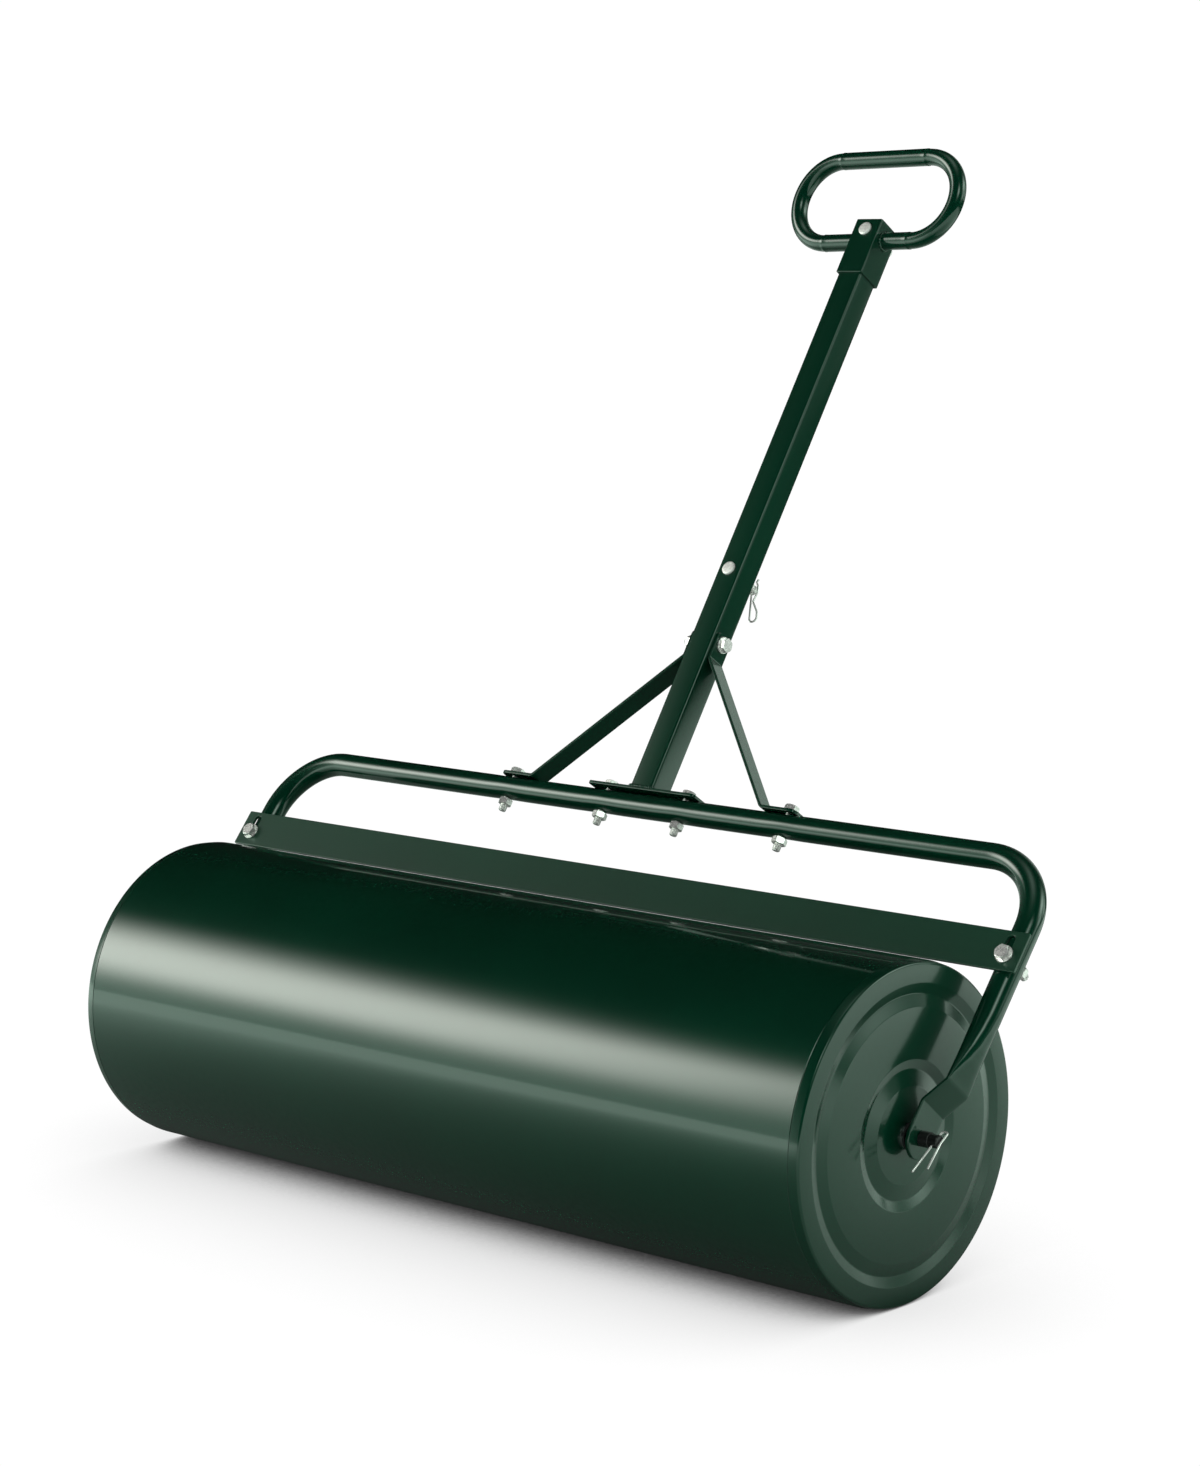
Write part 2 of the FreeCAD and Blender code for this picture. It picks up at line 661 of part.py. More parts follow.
NODES = {
    "drum_shell": drum_shell,
    "end_cap_right": right_cap,
    "end_cap_left": left_cap,
    "hub_tube": hub_tube,
    "bush_right": right_bush,
    "bush_left": lambda: mirrored(right_bush()),
    "filler_neck": filler_neck,
    "filler_gasket": filler_gasket,
    "filler_plug": filler_plug,
    "axle_rod": axle_rod,
    "thrust_washers": lambda: both_sides(right_thrust_washer()),
    "axle_collars": lambda: both_sides(right_collar()),
    "axle_clips": lambda: both_sides(right_axle_clip()),
    "frame_tube": frame_tube,
    "scraper_plate": scraper_plate,
    "scraper_washers": lambda: both_sides(right_scraper_washer()),
    "scraper_bolts": lambda: both_sides(right_scraper_bolt()),
    "scraper_nuts": lambda: both_sides(right_scraper_nut()),
    "base_plate": base_plate,
    "draw_bar": draw_bar,
    "brace_right": right_brace,
    "brace_left": lambda: mirrored(right_brace()),
    "rail_bolts": rail_bolts,
    "rail_nuts": rail_nuts,
    "cross_bolt": cross_bolt,
    "cross_washers": cross_washers,
    "cross_nut": cross_nut,
    "grip_sleeve": grip_sleeve,
    "handle_loop": handle_loop,
    "hitch_pin": hitch_pin,
    "hitch_pin_clip": hitch_pin_clip,
    "grip_pin": grip_pin,
    "grip_pin_clip": grip_pin_clip,
}

os.makedirs("parts", exist_ok=True)
for name, build in NODES.items():
    shape = build()
    shape.exportStep("parts/" + name + ".step")
    box = shape.BoundBox
    print(name, shape.isValid(), len(shape.Solids), round(shape.Volume),
          [round(v, 1) for v in (box.XMin, box.XMax, box.YMin, box.YMax, box.ZMin, box.ZMax)])
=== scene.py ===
import math
import bmesh
import bpy
from mathutils import Matrix, Vector


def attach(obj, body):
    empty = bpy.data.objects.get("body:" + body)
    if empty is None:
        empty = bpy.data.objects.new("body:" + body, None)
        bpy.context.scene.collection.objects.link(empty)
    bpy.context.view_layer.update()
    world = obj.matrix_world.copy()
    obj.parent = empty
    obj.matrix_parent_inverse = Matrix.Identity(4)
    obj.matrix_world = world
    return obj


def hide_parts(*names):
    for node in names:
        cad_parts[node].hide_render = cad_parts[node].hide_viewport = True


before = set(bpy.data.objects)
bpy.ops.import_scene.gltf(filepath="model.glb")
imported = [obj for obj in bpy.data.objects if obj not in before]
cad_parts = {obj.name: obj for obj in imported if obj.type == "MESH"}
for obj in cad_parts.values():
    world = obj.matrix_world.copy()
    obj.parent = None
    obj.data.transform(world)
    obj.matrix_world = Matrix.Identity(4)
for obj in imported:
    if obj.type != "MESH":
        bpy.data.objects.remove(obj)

scene = bpy.context.scene
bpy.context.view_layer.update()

# ---- dimensions, in metres, in the frame's own axes ----

MM = 0.001
DRUM_R = 152.4 * MM
DRUM_HALF = 457.2 * MM      # to the face of either cap
SKIRT = 10 * MM             # width of a cap's rim band
SHEET = 1.2 * MM
AXLE_HALF = 491.5 * MM
ARM_X = 485.2 * MM          # middle of the frame's arms
ARM_LENGTH = 279 * MM       # axle to rail
ARM_LEAN = math.radians(38.9)
TUBE_R = 12 * MM
EYE_X = 470 * MM            # middle of the arms' flattened ends
SEAT = 12.1 * MM            # from the middle of the tube to what is bolted on it
STRAP = 3 * MM              # thickness of base plate and braces
BAR_LEAN = math.radians(33.06)
BAR_SIDE = 29 * MM
SLEEVE_SIDE = 33 * MM
LOOP_LEAN = math.radians(21.8)
LOOP_TILT = math.radians(1.4)
LOOP_AT = 655 * MM          # along the draw bar, from the rail
RAIL = Vector((0, ARM_LENGTH * math.sin(ARM_LEAN), DRUM_R + ARM_LENGTH * math.cos(ARM_LEAN)))
AXLE = Vector((0, 0, DRUM_R))
X, Y, Z = Vector((1, 0, 0)), Vector((0, 1, 0)), Vector((0, 0, 1))


def leaned(angle, origin):
    """Local Z leans back from the vertical by angle; local -Y stays the front."""
    return Matrix.Translation(origin) @ Matrix.Rotation(-angle, 4, "X")


ON_ARM = leaned(ARM_LEAN, AXLE)
ON_BAR = leaned(BAR_LEAN, RAIL)
ON_LOOP = leaned(LOOP_LEAN, ON_BAR @ Vector((0, 0, LOOP_AT))) @ Matrix.Rotation(-LOOP_TILT, 4, "Y")
FLIP = Matrix.Diagonal((-1, 1, 1, 1))


def facing(direction, origin=Vector((0, 0, 0))):
    """Turns local +Z to `direction` and moves to `origin`."""
    return Matrix.Translation(origin) @ direction.to_track_quat("Z", "Y").to_matrix().to_4x4()


def shifted(x, y, z):
    return Matrix.Translation((x, y, z))


def turned(degrees, axis):
    return Matrix.Rotation(math.radians(degrees), 4, axis)


def angles(count):
    """Equal steps round a full circle."""
    return [2 * math.pi * k / count for k in range(count)]


def around(angle):
    """Unit vector at an angle in the local XY plane."""
    return Vector((math.cos(angle), math.sin(angle), 0))


# ---- shapes: (vertices, faces) in a local frame ----

def moved(matrix, shape):
    """The shape in another place; a mirroring matrix turns its faces round again."""
    verts, faces = shape
    out = [matrix @ Vector(v) for v in verts]
    if matrix.to_3x3().determinant() < 0:
        faces = [tuple(reversed(f)) for f in faces]
    return out, faces


def joined(*shapes):
    verts, faces = [], []
    for some_verts, some_faces in shapes:
        start = len(verts)
        verts += some_verts
        faces += [tuple(i + start for i in f) for f in some_faces]
    return verts, faces


def both(shape):
    """The shape and its mirror image on the other side of the roller."""
    return joined(shape, moved(FLIP, shape))


def skin(rings, closed=False):
    """Quads between successive rings of equal length. `closed` joins the last ring to the
    first; otherwise both ends get a face."""
    count = len(rings[0])
    verts = [p for ring in rings for p in ring]
    faces = []
    for i in range(len(rings) if closed else len(rings) - 1):
        a, b = i * count, ((i + 1) % len(rings)) * count
        for k in range(count):
            m = (k + 1) % count
            faces.append((a + k, a + m, b + m, b + k))
    if not closed:
        faces.append(tuple(reversed(range(count))))
        faces.append(tuple(range(len(verts) - count, len(verts))))
    return verts, faces


def lathe(profile, segments=64, closed=False):
    """Turns (along, radius) points about local Z."""
    rings = []
    for along, radius in profile:
        radius = max(radius, 1e-6)
        rings.append([Vector((radius * math.cos(a), radius * math.sin(a), along)) for a in angles(segments)])
    return skin(rings, closed)


def smooth_corners(points, steps=5, closed=False):
    """(a, b, corner radius) points to a list of (a, b), each corner turned into an arc."""
    out = []
    count = len(points)
    for i, (a, b, radius) in enumerate(points):
        here = Vector((a, b))
        if radius <= 0 or (not closed and i in (0, count - 1)):
            out.append(here)
            continue
        before = Vector(points[i - 1][:2]) - here
        after = Vector(points[(i + 1) % count][:2]) - here
        u, v = before.normalized(), after.normalized()
        half = u.angle(v) / 2
        cut = radius / math.tan(half)
        centre = here + (u + v).normalized() * (radius / math.sin(half))
        start, end = here + u * cut - centre, here + v * cut - centre
        turn = start.angle_signed(end)
        pieces = max(2, int(abs(turn) / math.radians(90) * steps * 2))
        for k in range(pieces + 1):
            angle = -turn * k / pieces
            out.append(centre + Matrix.Rotation(angle, 2) @ start)
    return out


def rounded_box(x0, y0, x1, y1, radius, steps):
    """Outline of a rectangle with round corners, anticlockwise."""
    corners = ((x0, y0), (x1, y0), (x1, y1), (x0, y1))
    return smooth_corners([(x, y, radius) for x, y in corners], steps, closed=True)


def path_3d(points, steps=6):
    """An open path in the local XZ plane: list of (place, tangent, in-plane normal)."""
    flat = smooth_corners(points, steps)
    out = []
    for i, p in enumerate(flat):
        before = flat[max(i - 1, 0)]
        after = flat[min(i + 1, len(flat) - 1)]
        t2 = Vector((0.0, 0.0))
        if i > 0:
            t2 += (p - before).normalized()
        if i < len(flat) - 1:
            t2 += (after - p).normalized()
        t2.normalize()
        out.append((Vector((p.x, 0, p.y)), Vector((t2.x, 0, t2.y)), Vector((t2.y, 0, -t2.x))))
    return out


def wire(points, radius, segments=10, steps=6):
    """A round bar along a path in the local XZ plane, with domed ends."""
    rings = []
    path = path_3d(points, steps)
    for i, (place, tangent, normal) in enumerate(path):
        if i in (0, len(path) - 1):
            sign = -1 if i == 0 else 1
            ends = [(place + tangent * sign * (radius * 0.45 * d), r)
                    for d, r in ((0, 1), (0.8, 0.8), (1, 0.4))]
            if sign < 0:
                ends.reverse()
        else:
            ends = [(place, 1)]
        for centre, share in ends:
            rings.append([centre + (normal * math.cos(a) + Y * math.sin(a)) * radius * share
                          for a in angles(segments)])
    return skin(rings)


def hex_head(flats, height, chamfer=0.93, segments=72):
    """Hexagon on local Z from 0 to height, its top rim cut by a 30 degree cone."""
    apothem = flats / 2
    top_r = apothem * chamfer
    outer, rim, top = [], [], []
    for a in angles(segments):
        off = (a + math.pi / 6) % (math.pi / 3) - math.pi / 6
        r = apothem / math.cos(off)
        d = around(a)
        drop = max(r - top_r, 0) * math.tan(math.radians(30))
        outer.append(d * r)
        rim.append(d * r + Z * (height - drop))
        top.append(d * top_r + Z * height)
    return skin([outer, rim, top])


def ring_shape(start, end, inner, outer, down, back, segments):
    """Ring on local Z whose outer edges are chamfered, by `down` in radius and `back` in length."""
    profile = [(start, inner), (start, outer - down), (start + back, outer), (end - back, outer),
               (end, outer - down), (end, inner)]
    return lathe(profile, segments, closed=True)


def thread(radius, start, end, pitch=1.25 * MM, depth=0.55 * MM, segments=28):
    """Helical thread on local Z between two heights (start < end), with a turned end."""
    rows = max(4, int((end - start) / pitch * 6))
    rings = []
    for i in range(rows + 1):
        z = start + (end - start) * i / rows
        ring = []
        for k, a in enumerate(angles(segments)):
            phase = (z / pitch + k / segments) % 1
            cut = depth * (1 - abs(2 * phase - 1)) * min(1, (end - z) / pitch, (z - start) / pitch + 0.3)
            taper = max(0, z - (end - 0.8 * MM)) * 0.9
            ring.append(around(a) * (radius - cut - taper) + Z * z)
        rings.append(ring)
    return skin(rings)


def plate(outer, holes, thick, edge=0.5 * MM):
    """Flat plate in local XY from z=0 to thick, with softened edges; loops are (x, y) lists."""
    curve = bpy.data.curves.new("outline", "CURVE")
    curve.dimensions = "2D"
    curve.fill_mode = "BOTH"
    curve.extrude = thick / 2 - edge
    curve.bevel_depth = edge
    curve.bevel_resolution = 2
    curve.offset = -edge
    for loop in [outer] + holes:
        spline = curve.splines.new("POLY")
        spline.points.add(len(loop) - 1)
        for point, (a, b) in zip(spline.points, loop):
            point.co = (a, b, 0, 1)
        spline.use_cyclic_u = True
    holder = bpy.data.objects.new("outline", curve)
    mesh = bpy.data.meshes.new_from_object(holder)
    verts = [v.co + Z * thick / 2 for v in mesh.vertices]
    faces = [tuple(p.vertices) for p in mesh.polygons]
    bpy.data.objects.remove(holder)
    bpy.data.meshes.remove(mesh)
    bpy.data.curves.remove(curve)
    return verts, faces


def bead(centres, outward, radius, ripple=0.16, lump=2.2 * MM, segments=10):
    """Weld bead along a closed line of points, with the ripples of its puddles."""
    rings = []
    count = len(centres)
    travelled = 0.0
    for i, here in enumerate(centres):
        along = (centres[(i + 1) % count] - centres[i - 1]).normalized()
        travelled += (here - centres[i - 1]).length
        across = along.cross(outward[i]).normalized()
        up = across.cross(along).normalized()
        size = radius * (1 + ripple * math.sin(2 * math.pi * travelled / lump)
                         + 0.08 * math.sin(17.3 * i) * math.sin(5.1 * i))
        rings.append([here + (up * math.cos(a) + across * math.sin(a)) * size for a in angles(segments)])
    return skin(rings, closed=True)


# ---- turning shapes into pieces ----

MERGE = 2e-6                # vertices nearer than this become one
NO_LENGTH = 1e-7


def piece(name, shape, material, slot, body, nodes=(), sharp=38, flat=False):
    """A mesh object that rides on a body and stands for CAD nodes. Edges above `sharp`
    degrees stay hard, and `flat` keeps large faces evenly shaded up to their rounded edges."""
    mesh = bpy.data.meshes.new(name)
    mesh.from_pydata([tuple(v) for v in shape[0]], [], shape[1])
    work = bmesh.new()
    work.from_mesh(mesh)
    bmesh.ops.remove_doubles(work, verts=work.verts, dist=MERGE)
    bmesh.ops.dissolve_degenerate(work, dist=NO_LENGTH, edges=work.edges)
    bmesh.ops.recalc_face_normals(work, faces=work.faces)
    limit = math.radians(sharp)
    for edge in work.edges:
        edge.smooth = len(edge.link_faces) == 2 and edge.calc_face_angle() < limit
    for face in work.faces:
        face.smooth = True
    work.to_mesh(mesh)
    work.free()
    obj = bpy.data.objects.new(name, mesh)
    scene.collection.objects.link(obj)
    mesh.materials.append(material)
    if flat:
        even = obj.modifiers.new("flat_faces_stay_flat", "WEIGHTED_NORMAL")
        even.keep_sharp = True
    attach(obj, body)
    if nodes:
        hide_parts(*nodes)


def painted(name, shape, nodes=(), **shading):
    piece(name, shape, frame_paint, "green_paint", "frame", nodes, **shading)


def plated(name, shape, nodes, **shading):
    piece(name, shape, zinc_plate, "zinc", "frame", nodes, **shading)


# ---- materials ----

class Tree:
    """Short names for building a node tree. A value is a number, a colour or a socket."""

    def __init__(self, tree):
        self.tree = tree

    def put(self, node, **values):
        for name, value in values.items():
            self.plug(node.inputs[name.replace("_", " ")], value)
        return node

    def plug(self, socket, value):
        if isinstance(value, bpy.types.NodeSocket):
            self.tree.links.new(value, socket)
        else:
            socket.default_value = value

    def node(self, kind, **inputs):
        return self.put(self.tree.nodes.new("ShaderNode" + kind), **inputs)

    def span(self, value, start, end, low, high):
        """Runs from low to high while the value runs from start to end, and stays there."""
        return self.node("MapRange", Value=value, From_Min=start, From_Max=end,
                         To_Min=low, To_Max=high).outputs["Result"]


class Finish(Tree):
    """A material on the Principled shader, with its patterns placed by object coordinates."""

    def __init__(self, name):
        self.material = bpy.data.materials.new(name)
        self.material.use_nodes = True
        super().__init__(self.material.node_tree)
        self.place = self.node("TexCoord").outputs["Object"]

    def noise(self, scale, detail, stretch=None):
        place = self.place
        if stretch:
            place = self.node("Mapping", Vector=place, Scale=stretch).outputs["Vector"]
        return self.node("TexNoise", Vector=place, Scale=scale, Detail=float(detail)).outputs["Fac"]

    def ramp(self, fac, low, high):
        """From one colour to the other over the middle of a noise's range."""
        node = self.node("ValToRGB", Fac=fac)
        for element, place, colour in zip(node.color_ramp.elements, (0.35, 0.65), (low, high)):
            element.position = place
            element.color = (*colour, 1)
        return node.outputs["Color"]

    def between(self, fac, low, high):
        return self.span(fac, 0.3, 0.7, low, high)

    def bump(self, height, strength, distance, under=None):
        node = self.node("Bump", Height=height, Strength=strength, Distance=distance)
        if under is not None:
            self.put(node, Normal=under)
        return node.outputs["Normal"]

    def made_of(self, **values):
        self.put(self.tree.nodes["Principled BSDF"], **values)
        return self.material


def tint(colour, factor):
    return tuple(c * factor for c in colour)


GREEN = (0.0002, 0.0260, 0.0117)


def enamel(name, sheet=0.0, coat=0.07, painted_shading=1.0):
    """Sprayed gloss enamel: a clear top, orange peel, faint cloudiness and the sheet's own ripple. The last
    argument scales the base colour up: painted light, a lighter copy of the same green where the light falls
    more strongly.
    """
    f = Finish(name)
    colour = f.ramp(f.noise(5.0, 3), tint(GREEN, 0.88 * painted_shading), tint(GREEN, 1.12 * painted_shading))
    normal = f.bump(f.noise(520, 2), 0.10, 0.12 * MM)
    if sheet:
        normal = f.bump(f.noise(3.2, 1, stretch=(0.7, 1.6, 1.6)), sheet, 6 * MM, normal)
    return f.made_of(Base_Color=colour, Roughness=f.between(f.noise(160, 4), 0.36, 0.46), Normal=normal,
                     Specular_IOR_Level=0.10, Specular_Tint=(0.05, 1.0, 0.58, 1), Coat_Weight=1.0,
                     Coat_Roughness=coat, Coat_Normal=normal)


def zinc(name, base=(0.92, 0.92, 0.89), rough=0.27):
    """Bright zinc plating with faint spangle."""
    f = Finish(name)
    colour = f.ramp(f.noise(420, 4), tint(base, 0.86), tint(base, 1.08))
    return f.made_of(Base_Color=colour, Metallic=0.65,
                     Roughness=f.between(f.noise(230, 3), rough * 0.85, rough * 1.15),
                     Normal=f.bump(f.noise(900, 3), 0.12, 0.05 * MM))


def black_steel(name):
    """Blackened steel, a little patchy."""
    f = Finish(name)
    colour = f.ramp(f.noise(90, 4), (0.006, 0.0065, 0.0065), (0.013, 0.013, 0.0135))
    return f.made_of(Base_Color=colour, Roughness=f.between(f.noise(300, 3), 0.28, 0.42),
                     Normal=f.bump(f.noise(700, 3), 0.15, 0.06 * MM))


def plastic(name, base, rough):
    """Moulded plastic or rubber with a fine grain."""
    f = Finish(name)
    colour = f.ramp(f.noise(60, 3), tint(base, 0.85), tint(base, 1.15))
    return f.made_of(Base_Color=colour, Roughness=f.between(f.noise(400, 3), rough * 0.9, rough * 1.15),
                     Normal=f.bump(f.noise(1500, 2), 0.2, 0.04 * MM))


def turned_steel(name):
    """Bare steel with lathe lines across X."""
    f = Finish(name)
    lines = f.noise(30, 3, stretch=(60, 1, 1))
    colour = f.ramp(lines, (0.30, 0.30, 0.31), (0.42, 0.42, 0.43))
    return f.made_of(Base_Color=colour, Metallic=1.0, Roughness=f.between(lines, 0.28, 0.42),
                     Normal=f.bump(lines, 0.1, 0.05 * MM))


drum_paint = enamel("drum_enamel", sheet=0.05)
cap_paint = enamel("cap_enamel", sheet=0.05, coat=0.12)
frame_paint = enamel("frame_enamel")
# the scraper gets the same green made 1.5 times lighter: painted light, for the stronger light that falls on it
scraper_paint_painted_light = enamel("scraper_enamel_painted_light", coat=0.32, painted_shading=1.5)
zinc_plate = zinc("zinc_plate")
pin_zinc = zinc("zinc_plate_dull", (0.86, 0.86, 0.83), 0.50)
wire_steel = zinc("bright_wire", rough=0.22)
black_metal = black_steel("black_oxide_steel")
bare_steel = turned_steel("turned_steel")
nylon = plastic("black_nylon", (0.020, 0.020, 0.020), 0.45)
moulded = plastic("moulded_plug", (0.014, 0.014, 0.015), 0.30)
rubber = plastic("gasket_rubber", (0.016, 0.016, 0.016), 0.70)

# ---- drum ----

ALONG_X = facing(X, AXLE)                 # local Z along the axle
DRUM_SEGMENTS = 256
SEAM = 0.4 * MM                           # open seam between cap and shell
CUT_EDGE = 0.35 * MM                      # softening of the shell's ends

# the right cap's outline, in millimetres
FACE, BAND_END, LIP_END = 457.2, 447.2, 433.2        # places along the axle
INNER_RING = (43.3, 57.7, 66.8)           # radii: inner edge, bottom, outer edge
OUTER_RING = (112.0, 123.3, 132.8)
RING_DEPTH = 3.0
HUB_HOLE, RIM, LIP_OUTSIDE, LIP_INSIDE = 11.05, 152.4, 151.15, 149.95     # radii
TAPER = 1.5                               # the rim band narrows towards the face
GAUGE = 1.2


def shell_shape():
    half = DRUM_HALF - SKIRT - SEAM
    r, edge = DRUM_R, CUT_EDGE
    rows = [(-half, r - SHEET), (-half, r - edge), (-half + edge, r)]
    rows += [(-half + edge + (2 * half - 2 * edge) * i / 24, r) for i in range(1, 24)]
    rows += [(half - edge, r), (half, r - edge), (half, r - SHEET)]
    return lathe(rows, DRUM_SEGMENTS, closed=True)


def cap_shape():
    """Face with two pressed rings, tapered rim band, lip inside the shell.
    The outline's rows are place along the axle, radius and corner radius."""
    front = [(FACE, HUB_HOLE, 0)]
    for inner, bottom, outer in (INNER_RING, OUTER_RING):
        front += [(FACE, inner, 4), (FACE - RING_DEPTH, bottom, 3.2), (FACE, outer, 4)]
    front += [(FACE, RIM - TAPER, 2.6), (BAND_END, RIM, 0.35)]
    front += [(BAND_END - 0.3, LIP_OUTSIDE, 0), (LIP_END, LIP_OUTSIDE, 0)]
    inside = FACE - GAUGE
    back = [(LIP_END, LIP_INSIDE, 0), (inside, LIP_INSIDE - 0.95, 2)]
    for outer, bottom, inner in (OUTER_RING[::-1], INNER_RING[::-1]):
        back += [(inside, outer, 4), (inside - RING_DEPTH, bottom, 3), (inside, inner, 4)]
    back += [(inside, HUB_HOLE, 0)]
    outline = smooth_corners([(a * MM, r * MM, c * MM) for a, r, c in front + back], 6, closed=True)
    return lathe([(p.x, p.y) for p in outline], DRUM_SEGMENTS, closed=True)


piece("drum_sheet", moved(ALONG_X, shell_shape()), drum_paint, "green_paint_drum", "drum", ["drum_shell"])
right_cap = moved(ALONG_X, cap_shape())
piece("pressed_cap_right", right_cap, cap_paint, "green_paint_drum", "drum", ["end_cap_right"])
piece("pressed_cap_left", moved(FLIP, right_cap), cap_paint, "green_paint_drum", "drum", ["end_cap_left"])

# ---- tube frame ----

FLATTENING = (              # height on the arm, half width, half thickness, squareness
    (52.0, 19.0, 2.0, 5.5), (57.0, 18.7, 2.6, 4.2), (66.0, 17.3, 4.9, 3.0), (78.0, 15.3, 7.7, 2.5),
    (92.0, 13.7, 9.9, 2.2), (108.0, 12.6, 11.3, 2.1), (125.0, 12.0, 12.0, 2.0))


EASE = 0.35                 # how much each step of the flattening eases in and out
EYE_FLAT = (8 * MM, 16 * MM)              # rings along the flat between the eye and the lower fold
FOLD_LOW, FOLD_HIGH = 28.5 * MM, 52 * MM
BEND_FROM = 180 * MM        # a ring just below the bend of the frame
FRAME_BEND = 66.8 * MM
RAIL_STEP = 5 * MM          # rings along the rail, fine enough for the dents
RAIL_STEPS = 82
RAIL_PLACES = (-178, -50, 50, 178)        # bolts along the rail, millimetres
DENT = 0.4 * MM             # how far the rail gives way under each bolt
DENT_REACH = 16             # millimetres


def tube_section(height):
    """Half width, half thickness and squareness at a height on the arm, in metres."""
    h = height / MM
    if h <= FLATTENING[0][0]:
        width, thick, power = FLATTENING[0][1:]
        if h < 0:                               # the round end below the eye
            width = math.sqrt(max(width ** 2 - h * h, 0.01))
        return width * MM, thick * MM, power
    for (h0, *low), (h1, *high) in zip(FLATTENING, FLATTENING[1:]):
        if h <= h1:
            t = (h - h0) / (h1 - h0)
            t = t * t * (3 - 2 * t) * EASE + t * (1 - EASE)
            width, thick, power = (a + (b - a) * t for a, b in zip(low, high))
            return width * MM, thick * MM, power
    return TUBE_R, TUBE_R, 2.0


def frame_shape(sides=56):
    """One tube: right arm up, rail, left arm down."""
    eye_r = FLATTENING[0][1] * MM
    arm = [(EYE_X, -eye_r * math.cos(math.radians(a)), 0) for a in range(0, 90, 10)]
    arm += [(EYE_X, z, 0) for z in EYE_FLAT] + [(EYE_X, FOLD_LOW, 3.5 * MM), (ARM_X, FOLD_HIGH, 6 * MM)]
    arm += [(ARM_X, z * MM, 0) for z in range(60, 136, 4)]
    arm += [(ARM_X, BEND_FROM, 0), (ARM_X, ARM_LENGTH, FRAME_BEND)]
    rail = [(x * RAIL_STEP, ARM_LENGTH, 0) for x in range(RAIL_STEPS, -RAIL_STEPS - 1, -1)]
    points = arm + rail + [(-x, z, c) for x, z, c in reversed(arm)]
    rings = []
    for place, tangent, normal in path_3d(points, 12):
        width, thick, power = tube_section(place.z)
        if place.z > ARM_LENGTH - 1 * MM:
            dent = sum(math.exp(-((place.x / MM - x) / DENT_REACH) ** 2) for x in RAIL_PLACES)
            thick, width = thick - DENT * dent, width + DENT * dent / 2
        ring = []
        for a in angles(sides):
            c, s = math.cos(a), math.sin(a)
            ring.append(place + normal * thick * math.copysign(abs(c) ** (2 / power), c)
                        + Y * width * math.copysign(abs(s) ** (2 / power), s))
        rings.append(ring)
    return skin(rings)


painted("bent_tube_frame", moved(ON_ARM, frame_shape()), ["frame_tube"], sharp=60)

# ---- scraper ----

SCRAPER_HALF, SCRAPER_LOW, SCRAPER_WIDTH, SCRAPER_THICK = 502 * MM, 162 * MM, 39.4 * MM, 3 * MM
SCRAPER_BACK = 12.35 * MM   # its back, in front of the arms' middle
SCRAPER_CORNER = 1.2 * MM
SLOT_R, SLOT_LOW, SLOT_HIGH = 4.5 * MM, 170 * MM, 197 * MM


def scraper_shape():
    top = SCRAPER_LOW + SCRAPER_WIDTH
    outer = rounded_box(-SCRAPER_HALF, SCRAPER_LOW, SCRAPER_HALF, top, SCRAPER_CORNER, 3)
    slots = [rounded_box(x - SLOT_R, SLOT_LOW, x + SLOT_R, SLOT_HIGH, SLOT_R * 0.99, 6)
             for x in (-ARM_X, ARM_X)]
    return moved(shifted(0, -SCRAPER_BACK, 0) @ turned(90, "X"), plate(outer, slots, SCRAPER_THICK))


piece("scraper_bar", moved(ON_ARM, scraper_shape()), scraper_paint_painted_light, "green_paint", "scraper", ["scraper_plate"],
      flat=True)

# ---- fasteners: M8, with 13 mm hexagons ----

HEX = 13 * MM
SHANK_R = 4 * MM
HEAD, NUT = 5.3 * MM, 6.5 * MM            # heights
FLANGE_R, FLANGE = 8.6 * MM, 1.2 * MM
WASHER = 1.6 * MM
M8_WASHER = ring_shape(0, WASHER, 4.25 * MM, 8.5 * MM, 0.25 * MM, 0.25 * MM, 48)
RAIL_BOLT = (27 * MM, 40.5 * MM)          # plain shank and whole length below the head
SCRAPER_BOLT = (29 * MM, 43 * MM)
CROSS_BOLT = (36 * MM, 49 * MM)
RAIL_BOLT_SEAT = 15.2 * MM
SCRAPER_BOLT_AT, SCRAPER_FACE = 177.5 * MM, 15.45 * MM
CROSS_BOLT_AT, CROSS_FACE = 181.6 * MM, BAR_SIDE / 2 + 3.3 * MM
UPSIDE_DOWN = turned(180, "X")


def bolt_shape(grip, end, flanged=False):
    """Head on local +Z from 0; plain shank down to -grip, thread down to -end."""
    parts = []
    foot = 0
    if flanged:
        r, foot = FLANGE_R, FLANGE
        parts.append(lathe([(0, 0), (0, r - 0.3 * MM), (0.3 * MM, r), (foot * 0.75, r - 0.2 * MM),
                            (foot, r - 1.3 * MM), (foot, 0)], 48))
    parts.append(moved(shifted(0, 0, foot), hex_head(HEX, HEAD)))
    parts.append(lathe([(0, 0), (0, SHANK_R), (-grip, SHANK_R), (-grip, 0)], 28))
    parts.append(moved(UPSIDE_DOWN, thread(SHANK_R, grip, end)))
    return joined(*parts)


def nut_shape():
    """Hex nut on local +Z, chamfered on both faces."""
    half = hex_head(HEX, NUT / 2)
    middle = shifted(0, 0, NUT / 2)
    return joined(moved(middle, half), moved(middle @ Matrix.Diagonal((1, 1, -1, 1)), half))


def spin(degrees):
    return turned(degrees, "Z")


